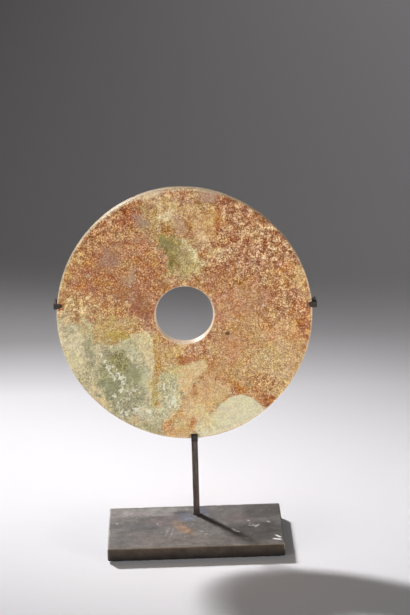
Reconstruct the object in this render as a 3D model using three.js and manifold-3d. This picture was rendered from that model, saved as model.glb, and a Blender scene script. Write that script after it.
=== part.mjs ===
// Jade bi disc on its steel stand.
//
// An upright ring of nephrite, held at three points by the claws of a blackened
// steel stand. The stand is a flat block with a felt pad under it, a thin square
// post, a small foot claw under the ring and two arms that reach out behind it
// and fold forward over its left and right edges.
//
// Millimetres, +Z up. The ring's show face looks towards -Y. The origin is the
// middle of the felt's underside, where the object stands.

import * as THREE from 'three';
import { mergeVertices } from 'three/addons/utils/BufferGeometryUtils.js';
import Module from 'manifold-3d';

const wasm = await Module();
wasm.setup();

// ---- driving dimensions -------------------------------------------------------

const FIT_GAP = 0.3; // air left between pieces that touch or are brazed together

// The ring, in its own frame: axis along Y, centre at the origin
const RING_RADIUS = 79.9; // mean radius of the rim
const RIM_OVALITY = 0.53; // how far the longer diagonal stands beyond the mean
const RIM_LONG_AXIS = 122; // degrees from +X towards +Z
const RIM_SQUARENESS = 0.4; // four faint corners left by grinding the blank round
const RIM_CORNER_AXIS = 7; // degrees, the first of those corners
const THICKNESS_AT_HOLE = 10.2;
const THICKNESS_AT_RIM = 9;
const RIM_ROUNDING = 1.4;
const HOLE_MOUTH_RADIUS = 18.5; // the hole was drilled from both faces,
const HOLE_WAIST_RADIUS = 17.9; // so it narrows to a ridge half way through
const HOLE_ROUNDING = 0.5;
const RING_SEGMENTS = 96;
const RING_CENTRE = new THREE.Vector3(-2.6, 15.7, 143.7);

// The foot: a steel block on felt
const BLOCK_WIDTH = 110;
const BLOCK_DEPTH = 81;
const BLOCK_HEIGHT = 8.1;
const BLOCK_CORNER = 1.2;
const BLOCK_ARRIS = 0.5; // the filed edge round the top and bottom faces
const FELT_HEIGHT = 1;
const FELT_INSET = 3;

// The post, a square bar standing behind the ring
const POST_SIZE = 4;
const POST_ARRIS = 0.4;
const POST_X = 1.2;
const POST_Y = 23.4;
const POST_TOP = 104;

// The foot claw, a small angle under the ring
const FOOT_WIDTH = 4.2;
const FOOT_SEAT_THICK = 1.5;
const FOOT_FINGER_THICK = 1.7;
const FOOT_FINGER_TIP = 1.1; // the finger is filed thinner towards its tip
const FOOT_FINGER_RISE = 3.4; // how far the finger stands above the ring's lowest edge

// The two arms, flat bars with a claw at the end of each
const ARM_THICK = 3.2;
const ARM_ROOT_HEIGHT = 5;
const ARM_ROOT_Z = 97;
const CLAW_HEIGHT = 3.6;
const CLAW_TAB_THICK = 1.7;
const LEFT_CLAW = { rise: 8.4, strap: 1.6, reach: 3.3, taper: 1.3 };
const RIGHT_CLAW = { rise: 4.6, strap: 2.5, reach: 1.9, taper: 0.4 };

// ---- worked out from them -----------------------------------------------------

const ringBackY = RING_CENTRE.y + THICKNESS_AT_HOLE / 2;
const ringFrontAtRimY = RING_CENTRE.y - THICKNESS_AT_RIM / 2;
const blockTopZ = FELT_HEIGHT + FIT_GAP + BLOCK_HEIGHT;
const postFrontY = POST_Y - POST_SIZE / 2;
const armFrontY = ringBackY + FIT_GAP;
const armBackY = armFrontY + ARM_THICK;
const tabBackY = ringFrontAtRimY - FIT_GAP;
const tabFrontY = tabBackY - CLAW_TAB_THICK;

// ---- materials ----------------------------------------------------------------

const jade = new THREE.MeshStandardMaterial({ name: 'jade', color: 0xb98a5a, roughness: 0.45, metalness: 0 });
const blockSteel = new THREE.MeshStandardMaterial({
  name: 'block steel', color: 0x5d5853, roughness: 0.5, metalness: 0.8,
});
const barSteel = new THREE.MeshStandardMaterial({
  name: 'bar steel', color: 0x4a4440, roughness: 0.55, metalness: 0.8,
});
const felt = new THREE.MeshStandardMaterial({ name: 'felt', color: 0x1d1b1b, roughness: 1, metalness: 0 });

// ---- helpers ------------------------------------------------------------------

// A manifold-3d solid from a closed three.js geometry.
function toSolid(geometry) {
  const bare = geometry.clone();
  bare.deleteAttribute('normal');
  bare.deleteAttribute('uv');
  const merged = mergeVertices(bare, 1e-4);
  return new wasm.Manifold(new wasm.Mesh({
    numProp: 3,
    vertProperties: new Float32Array(merged.attributes.position.array),
    triVerts: new Uint32Array(merged.index.array),
  }));
}

// One geometry from several that overlap where they are joined.
function fuse(...geometries) {
  const joined = geometries.map(toSolid).reduce((whole, next) => whole.add(next));
  const mesh = joined.getMesh();
  const geometry = new THREE.BufferGeometry();
  geometry.setAttribute('position', new THREE.BufferAttribute(mesh.vertProperties, 3));
  geometry.setIndex(new THREE.BufferAttribute(mesh.triVerts, 1));
  geometry.computeVertexNormals();
  return geometry;
}

// A closed outline through [u, v] pairs.
function outline(pairs) {
  return new THREE.Shape(pairs.map(([u, v]) => new THREE.Vector2(u, v)));
}

// An outline drawn in X and Z, as seen from the front, made solid between two Y values.
function frontPlate(pairs, frontY, backY) {
  const geometry = new THREE.ExtrudeGeometry(outline(pairs), {
    depth: backY - frontY, bevelEnabled: false,
  });
  geometry.rotateX(Math.PI / 2);
  geometry.translate(0, backY, 0);
  return geometry;
}

// An outline drawn in Y and Z, as seen from the right, made solid between two X values.
function sidePlate(pairs, leftX, rightX) {
  const geometry = new THREE.ExtrudeGeometry(outline(pairs), {
    depth: rightX - leftX, bevelEnabled: false,
  });
  const turn = new THREE.Matrix4().makeBasis(
    new THREE.Vector3(0, 1, 0), new THREE.Vector3(0, 0, 1), new THREE.Vector3(1, 0, 0),
  );
  geometry.applyMatrix4(turn);
  geometry.translate(leftX, 0, 0);
  return geometry;
}

// A slab with rounded upright corners and a small filed edge round both faces.
function slab(width, depth, height, corner, arris) {
  const x = width / 2;
  const y = depth / 2;
  const shape = new THREE.Shape();
  shape.moveTo(-x + corner, -y);
  shape.lineTo(x - corner, -y);
  shape.absarc(x - corner, -y + corner, corner, -Math.PI / 2, 0);
  shape.lineTo(x, y - corner);
  shape.absarc(x - corner, y - corner, corner, 0, Math.PI / 2);
  shape.lineTo(-x + corner, y);
  shape.absarc(-x + corner, y - corner, corner, Math.PI / 2, Math.PI);
  shape.lineTo(-x, -y + corner);
  shape.absarc(-x + corner, -y + corner, corner, Math.PI, Math.PI * 1.5);
  const geometry = new THREE.ExtrudeGeometry(shape, {
    depth: height - 2 * arris,
    bevelEnabled: arris > 0,
    bevelThickness: arris,
    bevelSize: arris,
    bevelOffset: -arris,
    bevelSegments: 2,
    curveSegments: 5,
  });
  geometry.translate(0, 0, arris);
  return geometry;
}

// ---- the ring -----------------------------------------------------------------

// How far the rim stands in or out of its mean circle, at an angle from +X towards +Z.
function rimOffset(angle) {
  const longAxis = THREE.MathUtils.degToRad(RIM_LONG_AXIS);
  const cornerAxis = THREE.MathUtils.degToRad(RIM_CORNER_AXIS);
  return RIM_OVALITY * Math.cos(2 * (angle - longAxis))
    + RIM_SQUARENESS * Math.cos(4 * (angle - cornerAxis));
}

// The distance from the ring's centre to its edge at an angle.
function rimRadius(angle) {
  return RING_RADIUS + rimOffset(angle);
}

// Points of a quarter circle, from one angle to another, in degrees.
function corner(radiusX, axialY, rounding, fromDegrees, toDegrees, steps = 4) {
  return Array.from({ length: steps + 1 }, (_, i) => {
    const angle = THREE.MathUtils.degToRad(
      THREE.MathUtils.lerp(fromDegrees, toDegrees, i / steps),
    );
    return new THREE.Vector2(
      radiusX + rounding * Math.cos(angle), axialY + rounding * Math.sin(angle),
    );
  });
}

// The ring's cross-section: radius against place along the axis, closed on itself.
function ringSection() {
  const rimHalf = THICKNESS_AT_RIM / 2 - RIM_ROUNDING;
  const holeHalf = THICKNESS_AT_HOLE / 2 - HOLE_ROUNDING;
  const rimX = RING_RADIUS - RIM_ROUNDING;
  const mouthX = HOLE_MOUTH_RADIUS + HOLE_ROUNDING;
  const middleX = (rimX + mouthX) / 2;
  const middleHalf = (THICKNESS_AT_RIM + THICKNESS_AT_HOLE) / 4 + 0.1;
  const section = [
    ...corner(rimX, -rimHalf, RIM_ROUNDING, -90, 0),
    ...corner(rimX, rimHalf, RIM_ROUNDING, 0, 90),
    new THREE.Vector2(middleX, middleHalf),
    ...corner(mouthX, holeHalf, HOLE_ROUNDING, 90, 180, 2),
    new THREE.Vector2(HOLE_WAIST_RADIUS, 0),
    ...corner(mouthX, -holeHalf, HOLE_ROUNDING, 180, 270, 2),
    new THREE.Vector2(middleX, -middleHalf),
  ];
  section.push(section[0].clone());
  return section;
}

// The section turned about the ring's axis, then eased outwards to the real rim.
function ringGeometry() {
  const geometry = new THREE.LatheGeometry(ringSection(), RING_SEGMENTS);
  const points = geometry.attributes.position;
  for (let i = 0; i < points.count; i += 1) {
    const x = points.getX(i);
    const z = points.getZ(i);
    const radius = Math.hypot(x, z);
    const share = (radius - HOLE_MOUTH_RADIUS) / (RING_RADIUS - HOLE_MOUTH_RADIUS);
    const grow = 1 + (Math.max(share, 0) * rimOffset(Math.atan2(z, x))) / radius;
    points.setXYZ(i, x * grow, points.getY(i), z * grow);
  }
  geometry.computeVertexNormals();
  return geometry;
}

// ---- the stand ----------------------------------------------------------------

// The post's square section with its four edges broken, as long as it stands tall.
function postGeometry(length) {
  const half = POST_SIZE / 2;
  const cut = half - POST_ARRIS;
  const section = outline([
    [-cut, -half], [cut, -half], [half, -cut], [half, cut],
    [cut, half], [-cut, half], [-half, cut], [-half, -cut],
  ]);
  return new THREE.ExtrudeGeometry(section, { depth: length, bevelEnabled: false });
}

// The foot claw: a seat under the ring and a finger that turns up over its face.
function footClawGeometry() {
  const seatTop = RING_CENTRE.z - rimRadius(-Math.PI / 2) - FIT_GAP;
  const seatBottom = seatTop - FOOT_SEAT_THICK;
  const seatBack = postFrontY - FIT_GAP;
  const fingerBack = tabBackY;
  const fingerFront = fingerBack - FOOT_FINGER_THICK;
  const fingerTop = seatTop + FIT_GAP + FOOT_FINGER_RISE;
  const knuckle = FOOT_SEAT_THICK / 2; // the outside of the bend is rounded
  const side = [
    [fingerFront + knuckle, seatBottom],
    [seatBack, seatBottom],
    [seatBack, seatTop],
    [fingerBack, seatTop],
    [fingerBack, fingerTop],
    [fingerBack - FOOT_FINGER_TIP, fingerTop],
    [fingerFront, fingerTop - FOOT_FINGER_TIP],
    [fingerFront, seatBottom + knuckle],
  ];
  return sidePlate(side, POST_X - FOOT_WIDTH / 2, POST_X + FOOT_WIDTH / 2);
}

// One arm: a bar that tapers from the post to the ring's edge, a strap that passes
// forward round the edge, and a tab that folds inwards over the face.
// side is -1 for the left arm and +1 for the right.
function armGeometry(side, claw) {
  const half = CLAW_HEIGHT / 2;
  const clawZ = RING_CENTRE.z + claw.rise;
  const edgeAngle = Math.asin(claw.rise / RING_RADIUS);
  const angle = side > 0 ? edgeAngle : Math.PI - edgeAngle;
  const edgeX = RING_CENTRE.x + rimRadius(angle) * Math.cos(angle);
  const innerX = edgeX + side * FIT_GAP;
  const outerX = innerX + side * claw.strap;
  const rootX = POST_X + side * (POST_SIZE / 2 + FIT_GAP);
  const tipX = edgeX - side * claw.reach;

  const bar = [
    [rootX, ARM_ROOT_Z - ARM_ROOT_HEIGHT / 2],
    [rootX, ARM_ROOT_Z + ARM_ROOT_HEIGHT / 2],
    [innerX, clawZ + half],
    [outerX, clawZ + half],
    [outerX, clawZ - half],
    [innerX, clawZ - half],
  ];
  const strap = [
    [innerX, clawZ - half],
    [outerX, clawZ - half],
    [outerX, clawZ + half],
    [innerX, clawZ + half],
  ];
  const tab = [
    [outerX, clawZ - half],
    [outerX, clawZ + half],
    [edgeX, clawZ + half],
    [tipX, clawZ + half - claw.taper],
    [tipX, clawZ - half + claw.taper],
    [edgeX, clawZ - half],
  ];
  return fuse(
    frontPlate(bar, armFrontY, armBackY),
    frontPlate(strap, tabFrontY, armBackY),
    frontPlate(tab, tabFrontY, tabBackY),
  );
}

// ---- the object ---------------------------------------------------------------

const object = new THREE.Group();

function addPiece(name, geometry, material, x = 0, y = 0, z = 0) {
  const piece = new THREE.Mesh(geometry, material);
  piece.name = name;
  piece.position.set(x, y, z);
  object.add(piece);
}

const feltPad = slab(
  BLOCK_WIDTH - 2 * FELT_INSET, BLOCK_DEPTH - 2 * FELT_INSET, FELT_HEIGHT, BLOCK_CORNER, 0,
);
addPiece('felt_pad', feltPad, felt);

const block = slab(BLOCK_WIDTH, BLOCK_DEPTH, BLOCK_HEIGHT, BLOCK_CORNER, BLOCK_ARRIS);
addPiece('steel_block', block, blockSteel, 0, 0, FELT_HEIGHT + FIT_GAP);

const postFoot = blockTopZ + FIT_GAP;
addPiece('steel_post', postGeometry(POST_TOP - postFoot), barSteel, POST_X, POST_Y, postFoot);

addPiece('foot_claw', footClawGeometry(), barSteel);
addPiece('left_arm', armGeometry(-1, LEFT_CLAW), barSteel);
addPiece('right_arm', armGeometry(1, RIGHT_CLAW), barSteel);
addPiece('jade_disc', ringGeometry(), jade, RING_CENTRE.x, RING_CENTRE.y, RING_CENTRE.z);

export default object;
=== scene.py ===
import math

import bpy
import numpy as np
from mathutils import Matrix, Vector


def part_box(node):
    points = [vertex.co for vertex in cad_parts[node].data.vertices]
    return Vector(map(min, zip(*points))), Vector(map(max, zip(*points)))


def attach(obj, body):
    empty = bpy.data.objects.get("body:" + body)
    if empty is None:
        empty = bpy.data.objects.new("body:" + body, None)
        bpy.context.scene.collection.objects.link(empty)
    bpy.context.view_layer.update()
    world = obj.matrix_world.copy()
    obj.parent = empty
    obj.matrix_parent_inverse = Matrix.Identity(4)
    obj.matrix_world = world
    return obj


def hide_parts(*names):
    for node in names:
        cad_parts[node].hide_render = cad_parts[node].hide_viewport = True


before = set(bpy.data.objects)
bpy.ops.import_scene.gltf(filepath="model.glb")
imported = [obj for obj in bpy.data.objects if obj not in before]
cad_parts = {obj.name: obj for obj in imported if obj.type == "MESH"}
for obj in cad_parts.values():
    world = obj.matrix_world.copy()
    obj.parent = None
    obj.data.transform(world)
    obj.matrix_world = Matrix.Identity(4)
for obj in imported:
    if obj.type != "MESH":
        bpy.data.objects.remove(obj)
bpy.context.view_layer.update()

MM = 0.001  # sizes below are in millimetres and reach the meshes in metres


# ---- The view ----
# A long lens a metre and a half from the disc, looking a little down on it and
# held a touch out of level.

LENS = 148.3
VIEW_DISTANCE = 1570 * MM
VIEW_PITCH = math.radians(13.5)
VIEW_YAW = math.radians(0.66)
VIEW_ROLL = math.radians(-1.675)
AIM_OFFSET = Vector((12.7, -15.7, 7.2)) * MM  # from the disc's centre

disc_low, disc_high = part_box("jade_disc")
disc_centre = (Vector(disc_low) + Vector(disc_high)) / 2
aim = disc_centre + AIM_OFFSET
forward = Vector((
    math.sin(VIEW_YAW) * math.cos(VIEW_PITCH),
    math.cos(VIEW_YAW) * math.cos(VIEW_PITCH),
    -math.sin(VIEW_PITCH),
))
level = Vector((math.cos(VIEW_YAW), -math.sin(VIEW_YAW), 0))
upright = level.cross(forward)
across = level * math.cos(VIEW_ROLL) + upright * math.sin(VIEW_ROLL)
top = upright * math.cos(VIEW_ROLL) - level * math.sin(VIEW_ROLL)

camera = bpy.data.objects.new("camera", bpy.data.cameras.new("camera"))
camera.data.lens = LENS
camera.data.clip_start = 0.05
camera.data.clip_end = 60
turn = Matrix((across, top, -forward)).transposed().to_4x4()
camera.matrix_world = Matrix.Translation(aim - forward * VIEW_DISTANCE) @ turn
bpy.context.collection.objects.link(camera)
bpy.context.scene.camera = camera
bpy.context.scene.view_settings.view_transform = "Standard"


# ---- The jade disc ----
# One slab of nephrite, sawn, ground nearly round and drilled from both faces, so
# its hole narrows to a ridge half way through. Burial has turned most of it to a
# russet, iron-speckled skin; fresh sage green shows low on the left.

RING_RADIUS = 79.9
RIM_OVALITY, RIM_LONG_AXIS = 0.53, math.radians(122)
RIM_SQUARENESS, RIM_CORNER_AXIS = 0.4, math.radians(7)
RIM_ROUNDING = 1.4
RIM_HALF_THICK = 4.5
HOLE_HALF_THICK = 5.1
HOLE_MOUTH, HOLE_WAIST, HOLE_ROUNDING = 18.5, 17.9, 0.5
FACE_SWELL = 0.4
RING_STEPS = 512


def paint(hex_colour):
    """Linear red, green and blue of an sRGB hex colour."""
    share = np.array([int(hex_colour[i:i + 2], 16) for i in (1, 3, 5)]) / 255
    return np.where(share <= 0.04045, share / 12.92, ((share + 0.055) / 1.055) ** 2.4)


def smooth(value, low, high):
    """S-curve that climbs from 0 at low to 1 at high: 3t^2 - 2t^3."""
    share = np.clip((value - low) / (high - low), 0, 1)
    return share * share * (3 - 2 * share)


def lattice_noise(points, cell, seed):
    """Random values from -1 to 1 on a cubic lattice of the given cell, blended
    between its corners with the S-curve."""
    place = np.asarray(points, float) / cell + 512
    base = np.floor(place).astype(np.int64)
    share = place - base
    share = share * share * (3 - 2 * share)
    table = np.random.default_rng(seed).uniform(-1, 1, 8192)
    total = np.zeros(place.shape[:-1])
    for corner in np.ndindex(2, 2, 2):
        index = base + np.array(corner)
        key = (index[..., 0] * 73856093) ^ (index[..., 1] * 19349663) ^ (index[..., 2] * 83492791)
        weight = np.where(np.array(corner) == 1, share, 1 - share).prod(axis=-1)
        total += weight * table[key & 8191]
    return total


def clouds(points, cell, seed, octaves=4):
    """Lattice noise summed over octaves, each half the size and half the strength."""
    total = sum(
        lattice_noise(points, cell / 2 ** octave, seed + octave) / 2 ** octave
        for octave in range(octaves)
    )
    return total / (2 - 2 ** (1 - octaves))


def skin(name, grid, caps=()):
    """Mesh object over a grid of points in millimetres. Point (i, j) joins its
    neighbours in both directions and the last column joins the first. So does the
    last row, unless caps gives faces that close the two ends instead."""
    rows, columns = grid.shape[:2]
    i = np.arange(rows - 1 if len(caps) else rows)[:, None]
    j = np.arange(columns)[None, :]
    next_i, next_j = (i + 1) % rows, (j + 1) % columns
    quads = np.stack([
        i * columns + j, i * columns + next_j, next_i * columns + next_j, next_i * columns + j,
    ], axis=-1).reshape(-1, 4)
    mesh = bpy.data.meshes.new(name)
    mesh.from_pydata((grid.reshape(-1, 3) * MM).tolist(), [], quads.tolist() + list(caps))
    mesh.shade_smooth()
    made = bpy.data.objects.new(name, mesh)
    bpy.context.collection.objects.link(made)
    return made


def store(piece, name, values):
    """Keeps one number or one linear colour for each point of the mesh."""
    if values.ndim > 1:
        layer = piece.data.attributes.new(name, "FLOAT_COLOR", "POINT")
        opaque = np.concatenate([values, np.ones((len(values), 1))], axis=1)
        layer.data.foreach_set("color", opaque.astype(np.float32).ravel())
    else:
        layer = piece.data.attributes.new(name, "FLOAT", "POINT")
        layer.data.foreach_set("value", values.astype(np.float32))


def arc(centre, radius, start, stop, steps):
    """Points of an arc from one angle to another, in degrees."""
    angle = np.radians(np.linspace(start, stop, steps + 1))
    return np.stack([centre[0] + radius * np.cos(angle), centre[1] + radius * np.sin(angle)], 1)


def ring_section():
    """The ring's cross-section, radius against place along the axis: round rim,
    faces that swell a little towards the hole, and a hole wall in two cones."""
    rim_x = RING_RADIUS - RIM_ROUNDING
    mouth_x = HOLE_MOUTH + HOLE_ROUNDING
    rim_y = RIM_HALF_THICK - RIM_ROUNDING
    mouth_y = HOLE_HALF_THICK - HOLE_ROUNDING
    share = np.linspace(0, 1, 77)
    face_r = rim_x + (mouth_x - rim_x) * share
    swell = (HOLE_HALF_THICK - RIM_HALF_THICK) * share + FACE_SWELL * share * (1 - share)
    face = np.stack([face_r, RIM_HALF_THICK + swell], 1)
    wall_y = np.linspace(mouth_y, 0, 6)[1:]
    wall = np.stack([HOLE_WAIST + (HOLE_MOUTH - HOLE_WAIST) * wall_y / mouth_y, wall_y], 1)
    upper = np.concatenate([
        [[RING_RADIUS, 0]],
        [[RING_RADIUS, rim_y / 2]],
        arc((rim_x, rim_y), RIM_ROUNDING, 0, 90, 6)[:-1],
        face,
        arc((mouth_x, mouth_y), HOLE_ROUNDING, 90, 180, 4)[1:],
        wall,
    ])
    lower = upper[-2:0:-1] * [1, -1]
    return np.concatenate([upper, lower])


def rim_offset(angle):
    """How far the rim stands out of its mean circle: an oval and a faint square."""
    return (RIM_OVALITY * np.cos(2 * (angle - RIM_LONG_AXIS))
            + RIM_SQUARENESS * np.cos(4 * (angle - RIM_CORNER_AXIS)))


section = ring_section()
angle = np.linspace(0, 2 * math.pi, RING_STEPS, endpoint=False)
radius = section[:, 0][:, None] + 0 * angle
depth = section[:, 1][:, None] + 0 * angle
growth = np.clip((radius - HOLE_MOUTH) / (RING_RADIUS - HOLE_MOUTH), 0, 1)
radius = radius + growth * rim_offset(angle)
disc_local = np.stack([radius * np.cos(angle), depth, radius * np.sin(angle)], -1)

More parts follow.
